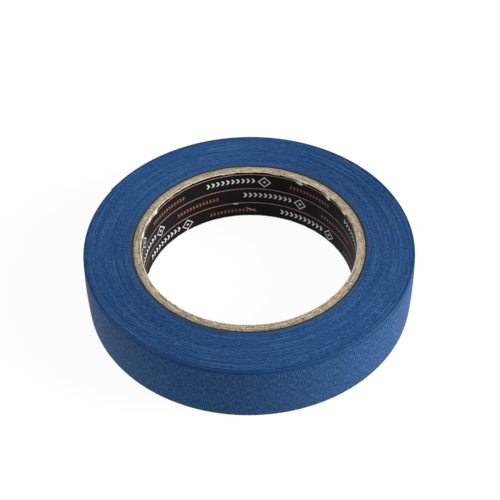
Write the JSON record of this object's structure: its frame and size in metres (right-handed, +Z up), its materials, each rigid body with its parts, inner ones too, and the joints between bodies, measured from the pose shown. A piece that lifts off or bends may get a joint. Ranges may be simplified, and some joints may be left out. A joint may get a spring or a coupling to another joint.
{
  "type": "masking tape roll",
  "caption": "Roll of blue creped paper masking tape wound on a spiral paperboard core with a dark printed liner; the cut end of the tape lifts off to be peeled.",
  "frame": {"origin": "on the roll's axis, at the bottom side face that the roll lies on", "axes": "+Z up along the roll's axis; +X to the right and -Y to the front, where a viewer in front of the lying roll stands; the tape's cut end is at the back, 150 degrees anticlockwise from +X"},
  "size_m": [0.1169, 0.1169, 0.023],
  "materials": {
    "tape_backing": "matte creped paper, blue",
    "tape_adhesive": "tacky satin coat, pale straw",
    "chipboard": "matte grey-brown paperboard",
    "kraft_paper": "matte kraft paper",
    "printed_liner": "black print on white paper, semi-matte"
  },
  "bodies": {
    "roll": {"core_liner": "printed_liner", "core_ply_1": "chipboard", "core_ply_2": "chipboard", "core_ply_3": "chipboard", "core_ply_4": "chipboard", "core_ply_5": "chipboard", "core_outer_ply": "kraft_paper", "tape_winding": "tape_backing", "outer_turn_adhesive": "tape_adhesive", "outer_turn_backing": "tape_backing"},
    "tape_end": {"tape_end_adhesive": "tape_adhesive", "tape_end_backing": "tape_backing"}
  },
  "joints": [
    {"name": "end_peel", "type": "hinge", "parent": "roll", "child": "tape_end", "pos_m": [-0.03365, 0.04801, 0.0115], "axis": [0, 0, -1], "range_deg": [0, 150]}
  ]
}
